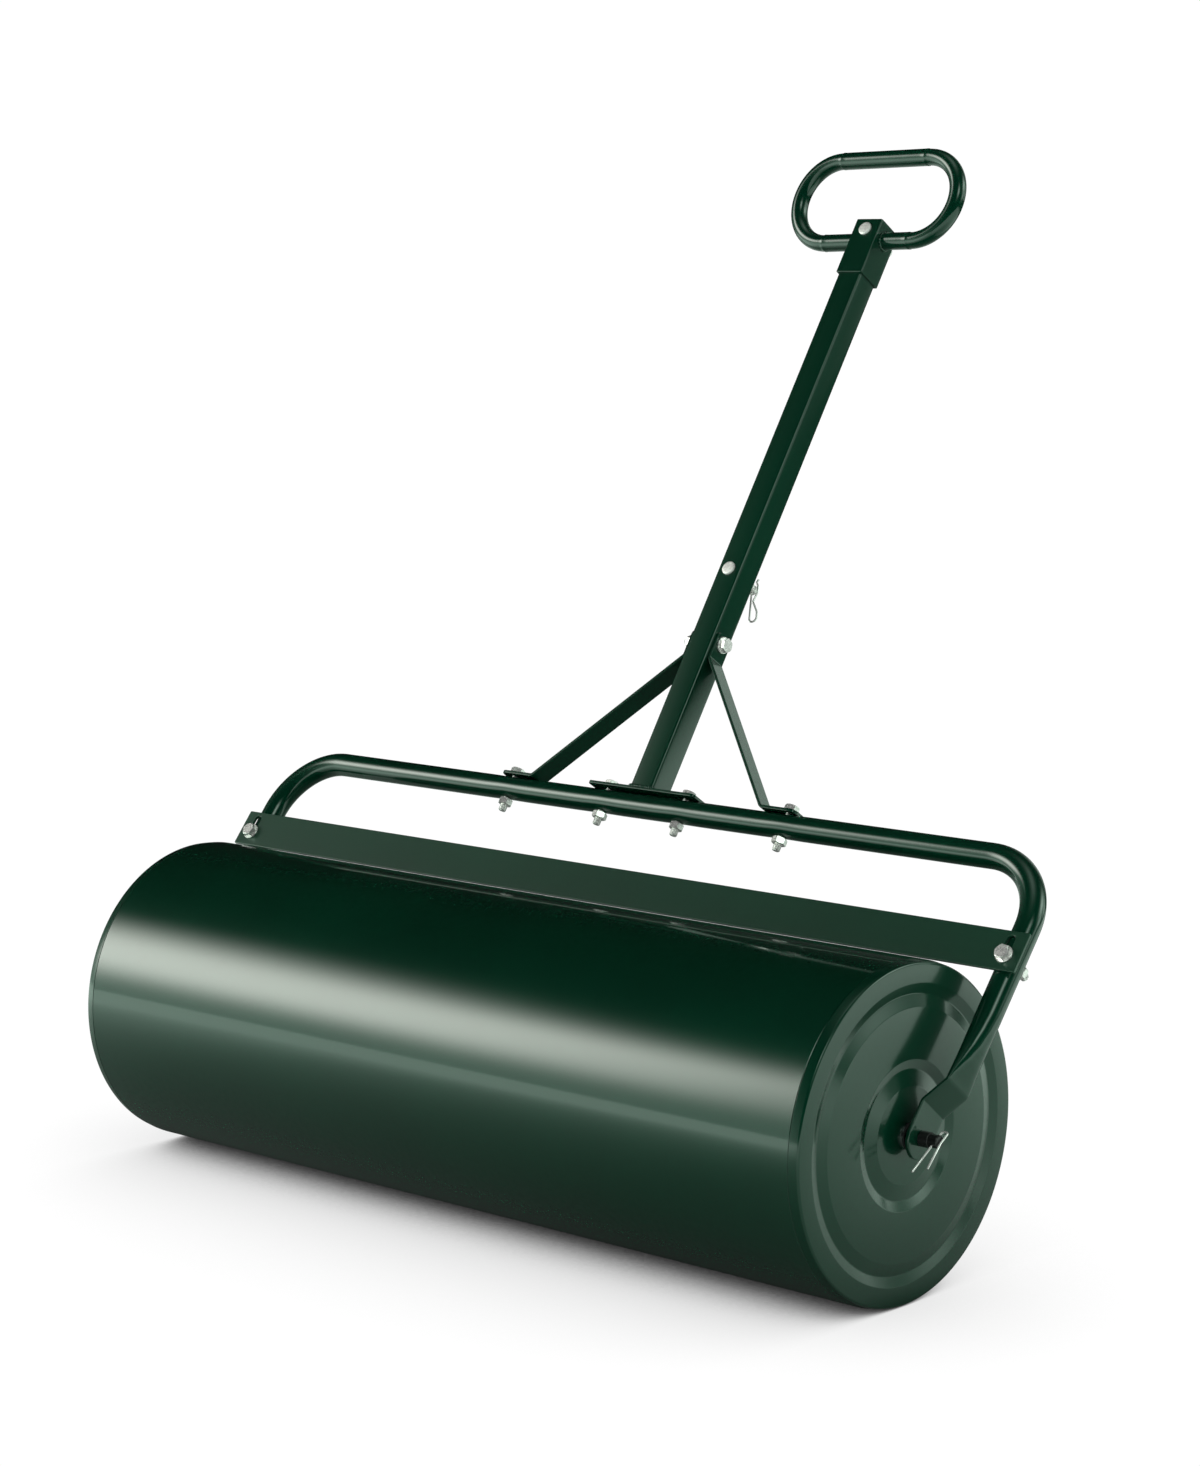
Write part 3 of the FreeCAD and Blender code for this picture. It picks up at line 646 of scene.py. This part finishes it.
bolts, nuts = [], []
for i, x in enumerate(RAIL_PLACES):
    top = ON_BAR @ shifted(x * MM, 0, RAIL_BOLT_SEAT)
    bolts.append(moved(top @ spin(17 * i + 5), bolt_shape(*RAIL_BOLT, flanged=True)))
    under = ON_BAR @ shifted(x * MM, 0, -SEAT) @ UPSIDE_DOWN
    nuts.append(moved(under @ spin(31 * i + 12), nut_shape()))
plated("rail_bolts_hex", joined(*bolts), ["rail_bolts"], sharp=25)
plated("rail_nuts_hex", joined(*nuts), ["rail_nuts"], sharp=25)

bolts, nuts, washers = [], [], []
for side in (-1, 1):
    spot = Vector((side * ARM_X, 0, SCRAPER_BOLT_AT))
    front = ON_ARM @ facing(-Y, spot - Y * SCRAPER_FACE)
    washers.append(moved(front, M8_WASHER))
    bolts.append(moved(front @ shifted(0, 0, WASHER) @ spin(20 * side), bolt_shape(*SCRAPER_BOLT)))
    rear = ON_ARM @ facing(Y, spot + Y * SEAT)
    nuts.append(moved(rear @ spin(8 * side), nut_shape()))
plated("scraper_washers_flat", joined(*washers), ["scraper_washers"])
plated("scraper_bolts_hex", joined(*bolts), ["scraper_bolts"], sharp=25)
plated("scraper_nuts_hex", joined(*nuts), ["scraper_nuts"], sharp=25)

right = ON_BAR @ facing(X, Vector((CROSS_FACE, 0, CROSS_BOLT_AT)))
left = ON_BAR @ facing(-X, Vector((-CROSS_FACE, 0, CROSS_BOLT_AT)))
raised = shifted(0, 0, WASHER)
plated("cross_washers_flat", joined(moved(right, M8_WASHER), moved(left, M8_WASHER)), ["cross_washers"])
plated("cross_bolt_hex", moved(right @ raised @ spin(14), bolt_shape(*CROSS_BOLT)), ["cross_bolt"], sharp=25)
plated("cross_nut_hex", moved(left @ raised @ spin(40), nut_shape()), ["cross_nut"], sharp=25)

# ---- draw bar, base plate, braces, sleeve ----

BAR_WALL, BAR_CORNER, BAR_TOP = 1.8 * MM, 2.6 * MM, 669 * MM
SLEEVE_WALL, SLEEVE_CORNER, SLEEVE_LOW, SLEEVE_TOP = 1.7 * MM, 1.6 * MM, 608.5 * MM, 672.5 * MM
PLATE_HALF, PLATE_DEPTH, PLATE_CORNER = 68.5 * MM, 30 * MM, 4 * MM
BRACE_HALF, BRACE_END_R, BRACE_FOLD_R = 11 * MM, 6 * MM, 4 * MM
BRACE_FOLD_HIGH, BRACE_FOLD_LOW = 162.5 * MM, 148.6 * MM   # height up the bar, place along the rail
BRACE_TIP = 3 * MM          # half width left at the very end
CROWN = 0.22 * MM           # how far the middle of a square tube's side stands above its edges


def crowned_square(size, radius, z, crown, steps=8):
    """Rounded square whose sides bulge slightly, anticlockwise."""
    h = size / 2 - crown
    arcs = rounded_box(-h, -h, h, h, radius, 5)
    per = len(arcs) // 4
    loop = []
    for q in range(4):
        loop += arcs[q * per:(q + 1) * per]
        start, end = loop[-1], arcs[(q + 1) * per % len(arcs)]
        outward = Vector(((end - start).y, -(end - start).x)).normalized()
        loop += [start.lerp(end, k / steps) + outward * crown * 4 * (k / steps) * (1 - k / steps)
                 for k in range(1, steps)]
    return [Vector((p.x, p.y, z)) for p in loop]


def square_tube(side, wall, corner, low, high, crown, edge=0.35 * MM):
    """Open-ended square tube along local Z, edges of both ends softened."""
    inner = max(corner - wall, 0.5 * MM)
    rows = [(side, corner, low + edge + (high - low - 2 * edge) * i / 8, crown) for i in range(9)]
    rows += [(side - 2 * edge, corner, high, crown), (side - 2 * wall, inner, high, 0),
             (side - 2 * wall, inner, low, 0), (side - 2 * edge, corner, low, crown)]
    return skin([crowned_square(*row) for row in rows], closed=True)


bar = square_tube(BAR_SIDE, BAR_WALL, BAR_CORNER, SEAT + STRAP, BAR_TOP, CROWN)
sleeve = square_tube(SLEEVE_SIDE, SLEEVE_WALL, SLEEVE_CORNER, SLEEVE_LOW, SLEEVE_TOP, CROWN / 4)
outline = rounded_box(-PLATE_HALF, -PLATE_DEPTH / 2, PLATE_HALF, PLATE_DEPTH / 2, PLATE_CORNER, 8)
base = plate(outline, [], STRAP)
painted("square_draw_bar", moved(ON_BAR, bar), ["draw_bar"])
painted("square_grip_sleeve", moved(ON_BAR, sleeve), ["grip_sleeve"])
painted("base_plate_flat", moved(ON_BAR @ shifted(0, 0, SEAT), base), ["base_plate"], flat=True)


def brace_shape():
    """Flat strip with rounded ends, bent at both tabs. Its path lies in the bar's XZ plane."""
    side = BAR_SIDE / 2 + 0.2 * MM + STRAP / 2
    foot = SEAT + STRAP / 2
    # the rings stand closer together towards the rounded ends
    points = [(side, z * MM, 0) for z in (192.5, 191, 189, 187, 184, 178, 170)]
    points += [(side, BRACE_FOLD_HIGH, BRACE_FOLD_R), (BRACE_FOLD_LOW, foot, BRACE_FOLD_R)]
    points += [(x * MM, foot, 0) for x in (160, 170, 180, 184, 187, 188.6, 190)]
    path = path_3d(points, 8)
    total = sum((b[0] - a[0]).length for a, b in zip(path, path[1:]))
    rings, run = [], 0.0
    for i, (place, tangent, normal) in enumerate(path):
        if i:
            run += (place - path[i - 1][0]).length
        near = min(run, total - run)
        width = BRACE_HALF
        if near < BRACE_END_R:
            width += math.sqrt(max(BRACE_END_R ** 2 - (BRACE_END_R - near) ** 2, 0)) - BRACE_END_R
        width, t, e = max(width, BRACE_TIP), STRAP / 2, 0.5 * MM
        rings.append([place + normal * p.x + Y * p.y for p in rounded_box(-t, -width, t, width, e, 2)])
    return skin(rings)


brace = moved(ON_BAR, brace_shape())
painted("bent_brace_right", brace, ["brace_right"], flat=True)
painted("bent_brace_left", moved(FLIP, brace), ["brace_left"], flat=True)

# ---- handle loop and welds ----

LOOP_RIGHT, LOOP_LEFT, LOOP_BEND = 95.3 * MM, -106.3 * MM, 45.9 * MM
LOOP_R = 9 * MM
PRESSED = 8.55 * MM         # half thickness in the bends, drawn thinner by the die
MARK, MARK_AT, MARK_REACH = 0.2 * MM, 1.2 * MM, 0.8 * MM  # the die's mark beside each bend


def loop_shape():
    """The oval, from its right end in the sleeve round to its left end."""
    end = SLEEVE_SIDE / 2 - 0.5 * MM
    arc = LOOP_BEND - 0.05 * MM
    lead = [d * MM for d in (8, 3, 1.6, 0.7)]
    right, left, top = LOOP_RIGHT, LOOP_LEFT, 2 * LOOP_BEND
    from_right = [right - LOOP_BEND - d for d in lead]
    from_left = [left + LOOP_BEND + d for d in lead]
    points = [(end, 0, 0)] + [(x, 0, 0) for x in from_right] + [(right, 0, arc), (right, top, arc)]
    points += [(x, top, 0) for x in from_right[::-1] + [-5 * MM] + from_left]
    points += [(left, top, arc), (left, 0, arc)] + [(x, 0, 0) for x in from_left[::-1]] + [(-end, 0, 0)]
    rings = []
    for place, tangent, normal in path_3d(points, 14):
        into_bend = max(place.x - (right - LOOP_BEND), left + LOOP_BEND - place.x)
        if into_bend > 0:
            flat, wide = PRESSED, LOOP_R
        else:
            flat = wide = LOOP_R + MARK * math.exp(-((into_bend + MARK_AT) / MARK_REACH) ** 2)
        rings.append([place + normal * math.cos(a) * flat + Y * math.sin(a) * wide for a in angles(40)])
    return skin(rings)


painted("oval_hand_loop", moved(ON_LOOP, loop_shape()), ["handle_loop"])

LOOP_WELD, FOOT_WELD, WELD_STEP = 1.5 * MM, 1.6 * MM, 0.7 * MM     # bead radii, and ring spacing
PROUD = 0.3 * MM            # how far the middle of a bead stands off the metal

welds = []
r = LOOP_R + PROUD
for side in (-1, 1):
    outward = [Vector((0, r * math.cos(a), r * math.sin(a))) for a in angles(90)]
    ring = [p + X * side * (SLEEVE_SIDE / 2 + PROUD) for p in outward]
    welds.append(moved(ON_LOOP, bead(ring, outward, LOOP_WELD)))
h = BAR_SIDE / 2 + 0.4 * MM
foot = rounded_box(-h, -h, h, h, 3 * MM, 6)
outward = []
for a, b in zip(foot, foot[1:] + foot[:1]):
    count = max(1, int((b - a).length / WELD_STEP))
    outward += [a.lerp(b, k / count).to_3d() for k in range(count)]
ring = [p + Z * (SEAT + STRAP + PROUD) for p in outward]
welds.append(moved(ON_BAR, bead(ring, outward, FOOT_WELD)))
painted("weld_beads", joined(*welds))

# ---- axle ends ----

AXLE_R, AXLE_CHAMFER = 6 * MM, 0.8 * MM
COLLAR = (472.1 * MM, 482.5 * MM, 6.05 * MM, 7 * MM)       # start, end, inner and outer radius
SPACER = (465.9 * MM, 467.9 * MM, 6.4 * MM, 13 * MM)

end, neck = AXLE_HALF - AXLE_CHAMFER, AXLE_R - AXLE_CHAMFER
axle = lathe([(-AXLE_HALF, 0), (-AXLE_HALF, neck), (-end, AXLE_R), (end, AXLE_R), (AXLE_HALF, neck),
              (AXLE_HALF, 0)], 48)
collar = ring_shape(*COLLAR, 0.5 * MM, 0.5 * MM, 48)
spacer = ring_shape(*SPACER, 0.4 * MM, 0.3 * MM, 64)
piece("axle_bar", moved(ALONG_X, axle), black_metal, "black_metal", "frame", ["axle_rod"])
piece("axle_collar_pair", both(moved(ALONG_X, collar)), black_metal, "black_metal", "frame", ["axle_collars"])
piece("nylon_washer_pair", both(moved(ALONG_X, spacer)), nylon, "nylon", "frame", ["thrust_washers"])

# the clip: a leg through the axle, and one bent over it that springs outwards
CLIP_X, CLIP_DIP, CLIP_WIRE = 486.5 * MM, 32, 1.0 * MM
over = 6.35 * MM
fold = over / 2 - 0.02 * MM
hairpin = wire([(0, -38 * MM, 0), (0, 12.5 * MM, fold), (over, 12.5 * MM, fold), (over, -1 * MM, 8 * MM),
                (over + 5.5 * MM, -31 * MM, 0)], CLIP_WIRE, 14, 8)
dip = Matrix.Translation(AXLE + X * CLIP_X) @ turned(CLIP_DIP - 90, "X")
piece("axle_hairpins", both(moved(dip, hairpin)), wire_steel, "zinc", "frame", ["axle_clips"])

# ---- clevis pins with their clips ----


PIN_R, PIN_LENGTH, PIN_HEAD_R, PIN_HEAD = 5 * MM, 47.5 * MM, 7.2 * MM, 2.5 * MM
CLIP_HOLE = 43.0 * MM       # from under the head to the clip
PINS = (                    # name, height on the draw bar, side of the tube, turn of the clip, mirror
    ("hitch_pin", 259.6 * MM, BAR_SIDE, -19.5, Matrix.Identity(4)),
    ("grip_pin", 660.0 * MM, SLEEVE_SIDE, 4.0, FLIP))


def pin_shape():
    """Head on local -Y from 0; shank along +Y."""
    body = lathe([(0, 0), (0, PIN_R), (1 * MM - PIN_LENGTH, PIN_R), (-PIN_LENGTH, PIN_R - 1 * MM),
                  (-PIN_LENGTH, 0)], 40)
    r = PIN_HEAD_R
    head = lathe([(0, 0), (0, r - 0.3 * MM), (0.3 * MM, r), (1.6 * MM, r), (2.1 * MM, r - 0.3 * MM),
                  (2.4 * MM, r - 1 * MM), (PIN_HEAD, PIN_R), (PIN_HEAD, 0)], 48)
    return moved(facing(-Y), joined(head, body))


def clip_shape():
    """Closed end, straight leg, and the waved leg that grips the pin; rows in millimetres."""
    path = [(0, 8.5, 0), (0, -39.5, 4.15), (8.4, -39.5, 4.15), (8.4, -29, 12), (2.6, -15.5, 3.0),
            (7.0, -6.0, 4.0), (7.0, 2.5, 3.0), (5.2, 6.6, 1.6), (7.2, 9.4, 0)]
    return wire([(a * MM, b * MM, c * MM) for a, b, c in path], CLIP_WIRE, 14, 6)


for name, height, side, turn, mirror in PINS:
    at = ON_BAR @ shifted(0, -side / 2 - 0.1 * MM, height)
    piece(name + "_flat_head", moved(at, pin_shape()), pin_zinc, "zinc", name, [name])
    behind = shifted(0, CLIP_HOLE, 0) @ turned(turn, "Y") @ mirror
    piece(name + "_wire_clip", moved(at @ behind, clip_shape()), wire_steel, "zinc", name, [name + "_clip"])

# ---- filler, on the left cap ----

FILLER_UP = 89.5 * MM       # above the axle
ALONG_LEFT = facing(-X, AXLE + Z * FILLER_UP)
NECK_FOOT, NECK_TOP = 449.7 * MM, 458.7 * MM               # places along the axle
GASKET_FOOT, GASKET_TOP = 458.75 * MM, 460.25 * MM
PLUG_FOOT, PLUG_TOP = 460.3 * MM, 468.3 * MM
PLUG_R, PLUG_RIBS, RIB = 17.5 * MM, 18, 0.9 * MM
PLUG_SHANK_R, PLUG_SHANK = 12.1 * MM, 13 * MM
RECESS_R, RECESS = 12.5 * MM, 1.2 * MM
COIN_BAR, COIN_BAR_HALF = 10.8 * MM, 2 * MM                # half length and half width
COIN_BAR_HEIGHT = 2.4 * MM

neck = lathe([(NECK_FOOT, 12.2 * MM), (NECK_FOOT, 17 * MM), (458.2 * MM, 17 * MM), (NECK_TOP, 16.4 * MM),
              (NECK_TOP, 12.2 * MM)], 72, closed=True)
piece("filler_neck_ring", moved(ALONG_LEFT, neck), drum_paint, "green_paint_drum", "drum", ["filler_neck"])
gasket = ring_shape(GASKET_FOOT, GASKET_TOP, 12.4 * MM, 15.5 * MM, 0.3 * MM, 0.25 * MM, 72)
piece("filler_gasket_ring", moved(ALONG_LEFT, gasket), rubber, "gasket_rubber", "plug", ["filler_gasket"])


def plug_shape():
    """Ribbed screw cap, sunk inside its rim round a bar to turn it by; thread below."""
    rows = ((PLUG_FOOT, 0.3), (PLUG_FOOT + 0.3 * MM, 0), (PLUG_TOP - 1.6 * MM, 0), (PLUG_TOP - 0.5 * MM, 0.5),
            (PLUG_TOP, 1.5))
    rings = []
    for z, shrink in rows:
        rings.append([around(a) * (PLUG_R - RIB * max(0, math.cos(PLUG_RIBS * a)) ** 0.7 - shrink * MM) + Z * z
                      for a in angles(180)])
    rings.append([around(a) * RECESS_R + Z * PLUG_TOP for a in angles(180)])
    rings.append([around(a) * (RECESS_R - 1 * MM) + Z * (PLUG_TOP - RECESS) for a in angles(180)])
    outline = rounded_box(-COIN_BAR, -COIN_BAR_HALF, COIN_BAR, COIN_BAR_HALF, 1.5 * MM, 4)
    bar = plate(outline, [], COIN_BAR_HEIGHT)
    screw = thread(PLUG_SHANK_R, 0, PLUG_SHANK, 2 * MM, 0.9 * MM, 64)
    return joined(skin(rings), moved(shifted(0, 0, PLUG_TOP - COIN_BAR_HEIGHT), bar),
                  moved(shifted(0, 0, PLUG_FOOT) @ UPSIDE_DOWN, screw))


piece("screw_plug", moved(ALONG_LEFT, plug_shape()), moulded, "plug_plastic", "plug", ["filler_plug"])

# ---- CAD pieces that stay as they are ----

for node, material in (("hub_tube", bare_steel), ("bush_right", nylon), ("bush_left", nylon)):
    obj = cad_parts[node]
    for slot in obj.material_slots:
        slot.material = material

# ---- stage: floor, light and camera ----

# Soft patches of light that the gloss shows: compass angle from +X towards +Y and
# elevation of the middle, half widths up and across, all in degrees, then strength.
KEY = (-143, 20, 11.3, 14, 8.5)           # softbox, front left
KEY_POWERS = (2.6, 4.0)                   # above 2 a patch has a flatter middle and a crisper edge
PATCHES = (
    (-138, -4, 22, 34, 1.5),              # the softbox's spill
    (45, 24, 10.5, 16, 5.0),              # rim light, back right
    (66, 4, 14, 8, 2.0),
    (36, 8, 5.5, 12, 3.0),                # crescents on the upper left of the cap's rings
    (104, 10, 20, 14, 0.6),
    (-25, 38, 9, 12, 5.5),                # thin line along the right-hand front edges
    (0, 90, 16, 720, 1.2),                # overhead
)
SOFT = ((-130, 25, 45, 60, 0.9), (10, 0, 50, 50, 1.0))     # what dull surfaces are lit by
GLOSS_LEVEL, SOFT_LEVEL = 0.004, 0.25     # even light added to the patches
BACKDROP = 1.02
KEY_TINT = (0.98, 1.0, 0.925, 1)
ROOM_TINT = (0.80, 1.0, 0.88, 1)
WHITE = (1, 1, 1, 1)

FLOOR_HALF = 14
CONTACT_REACH = 0.42                      # how far the contact shadow reaches, metres
CONTACT_GREYS = (                         # openness of the floor, grey
    (0.0, 0.0), (0.07, 0.06), (0.20, 0.40), (0.33, 0.68), (0.46, 0.80), (0.65, 0.90), (0.88, 1.02))

CAMERA_AT = (2.1887, -2.3232, 0.9009)
CAMERA_YAW, CAMERA_PITCH = 0.73216, 0.13713
LENS = 84.334


class Formula(Tree):
    """Math nodes written as calls."""

    def math(self, operation, *values):
        made = self.node("Math")
        made.operation = operation
        for socket, value in zip(made.inputs, values):
            self.plug(socket, value)
        return made.outputs[0]

    def times(self, a, b):
        return self.math("MULTIPLY", a, b)

    def choose(self, ray, yes, no):
        """One shader for rays of a kind, another for the rest."""
        mix = self.node("MixShader")
        for socket, value in zip(mix.inputs, (self.node("LightPath").outputs[ray], no, yes)):
            self.plug(socket, value)
        return mix.outputs[0]


def stage_floor():
    mesh = bpy.data.meshes.new("floor")
    h = FLOOR_HALF
    mesh.from_pydata([(-h, -h, 0), (h, -h, 0), (h, h, 0), (-h, h, 0)], [], [(0, 1, 2, 3)])
    floor = bpy.data.objects.new("floor", mesh)
    scene.collection.objects.link(floor)
    material = bpy.data.materials.new("pale_floor")
    material.use_nodes = True
    material.cycles.emission_sampling = "NONE"
    material.node_tree.nodes.clear()
    f = Formula(material.node_tree)

    # seen directly: white, with a contact shadow
    painted_shading = f.node("AmbientOcclusion", Distance=CONTACT_REACH)
    painted_shading.samples = 16
    contact = f.node("ValToRGB", Fac=painted_shading.outputs["AO"])
    ramp = contact.color_ramp
    while len(ramp.elements) < len(CONTACT_GREYS):
        ramp.elements.new(1.0)
    for element, (place, grey) in zip(ramp.elements, CONTACT_GREYS):
        element.position = place
        element.color = (grey, grey, grey, 1)
    seen = f.node("Emission", Color=contact.outputs["Color"]).outputs[0]

    # mirrored in the gloss: dark beside the drum and in its shadow, lighter further out
    place = f.node("SeparateXYZ", Vector=f.node("TexCoord").outputs["Object"])
    x, y = place.outputs["X"], place.outputs["Y"]
    beyond = f.math("MAXIMUM", f.math("SUBTRACT", f.math("ABSOLUTE", x), 0.45), 0.0)
    away = f.math("SQRT", f.math("ADD", f.times(beyond, beyond), f.times(y, y)))
    open_floor = f.times(f.span(away, 0.02, 1.5, 0.0, 1.48), f.span(x, -0.8, 0.2, 1.8, 0.8))
    shadow = f.times(f.span(y, 0.0, 0.3, 0.0, 0.75), f.span(x, 0.40, 0.50, 1.0, 0.0))
    open_floor = f.times(open_floor, f.math("SUBTRACT", 1.0, shadow))
    lit = f.math("ADD", open_floor, f.span(x, 0.44, 0.50, 0.0, 0.32))
    mirrored = f.times(lit, f.span(y, 2.2, 3.6, 1.0, 0.0))
    gloss = f.node("Emission", Color=ROOM_TINT, Strength=mirrored).outputs[0]

    # what it sends up to dull surfaces
    upward = f.times(f.span(away, 0.0, 0.8, 0.05, 0.5), f.span(x, 0.3, 0.6, 1.0, 2.2))
    bounce = f.node("Emission", Strength=upward).outputs[0]

    surface = f.choose("Is Glossy Ray", gloss, f.choose("Is Camera Ray", seen, bounce))
    f.node("OutputMaterial", Surface=surface)
    mesh.materials.append(material)


def patch(f, ray, azimuth, elevation, up, across, strength, up_power=2.0, across_power=2.0):
    """A soft-edged patch of light in a direction."""
    part = f.node("SeparateXYZ", Vector=ray)
    compass = f.math("ARCTAN2", part.outputs["Y"], part.outputs["X"])
    off = f.math("WRAP", f.math("SUBTRACT", compass, math.radians(azimuth)), math.pi, -math.pi)
    rise = f.math("SUBTRACT", f.math("ARCSINE", part.outputs["Z"]), math.radians(elevation))
    off = f.math("ABSOLUTE", f.math("DIVIDE", off, math.radians(across)))
    rise = f.math("ABSOLUTE", f.math("DIVIDE", rise, math.radians(up)))
    far = f.math("ADD", f.math("POWER", off, across_power), f.math("POWER", rise, up_power))
    return f.times(f.math("EXPONENT", f.times(far, -1.0)), strength)


def patches(f, ray, rows, level):
    for row in rows:
        level = f.math("ADD", patch(f, ray, *row), level)
    return level


def studio():
    world = bpy.data.worlds.new("studio")
    scene.world = world
    world.use_nodes = True
    world.cycles.sampling_method = "NONE"
    world.node_tree.nodes.clear()
    f = Formula(world.node_tree)
    ray = f.node("TexCoord").outputs["Generated"]

    def light(colour, strength):
        return f.node("Background", Color=colour, Strength=strength).outputs[0]

    gloss = f.node("AddShader")
    f.plug(gloss.inputs[0], light(ROOM_TINT, patches(f, ray, PATCHES, GLOSS_LEVEL)))
    f.plug(gloss.inputs[1], light(KEY_TINT, patch(f, ray, *KEY, *KEY_POWERS)))
    ambient = light(WHITE, patches(f, ray, SOFT, SOFT_LEVEL))
    surface = f.choose("Is Glossy Ray", gloss.outputs[0], ambient)
    f.node("OutputWorld", Surface=f.choose("Is Camera Ray", light(WHITE, BACKDROP), surface))


def camera():
    data = bpy.data.cameras.new("camera")
    data.sensor_fit = "AUTO"
    data.sensor_width = 36
    data.lens = LENS
    data.clip_end = 60
    obj = bpy.data.objects.new("camera", data)
    scene.collection.objects.link(obj)
    obj.location = CAMERA_AT
    level = math.cos(CAMERA_PITCH)
    look = Vector((-math.sin(CAMERA_YAW) * level, math.cos(CAMERA_YAW) * level, -math.sin(CAMERA_PITCH)))
    obj.rotation_euler = look.to_track_quat("-Z", "Y").to_euler()
    scene.camera = obj


stage_floor()
studio()
camera()
scene.view_settings.view_transform = "Standard"
